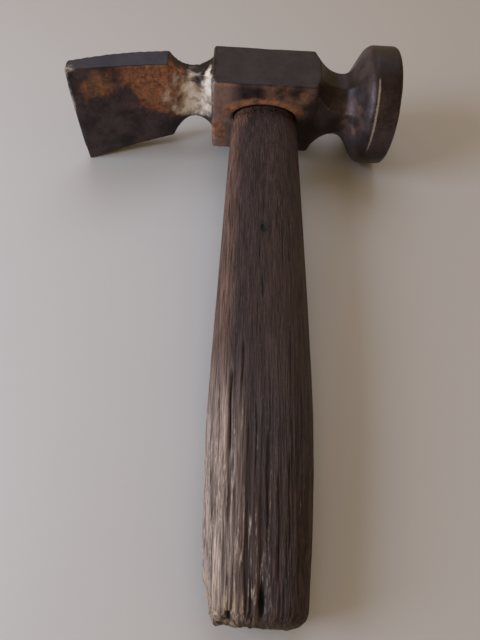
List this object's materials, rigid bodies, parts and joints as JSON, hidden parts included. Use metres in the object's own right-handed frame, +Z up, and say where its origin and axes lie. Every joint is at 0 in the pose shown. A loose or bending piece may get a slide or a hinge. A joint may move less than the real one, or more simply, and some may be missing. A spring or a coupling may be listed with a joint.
{
  "type": "cobbler's hammer",
  "caption": "Shoemaker's hammer with a round belled face, a broad drooping cross peen and a short oval wooden handle held in the eye by wedges.",
  "frame": {"origin": "on the floor, under the middle of the hammer's bounding box, with the hammer lying on its side", "axes": "+X along the head towards the round face, -Y along the handle towards the butt, +Z up"},
  "size_m": [0.1267, 0.2104, 0.045],
  "materials": {
    "forged_iron": "dark brown-black patina with rust and worn bright edges",
    "old_wood": "dark, oiled and weathered, with raised grey grain at the butt",
    "wedge_wood": "dry end grain",
    "wedge_steel": "hammered over and rusted"
  },
  "bodies": {
    "root": {"hammer_head": "forged_iron", "handle": "old_wood", "wooden_wedge": "wedge_wood", "steel_wedge_face": "wedge_steel", "steel_wedge_peen": "wedge_steel"}
  },
  "joints": []
}
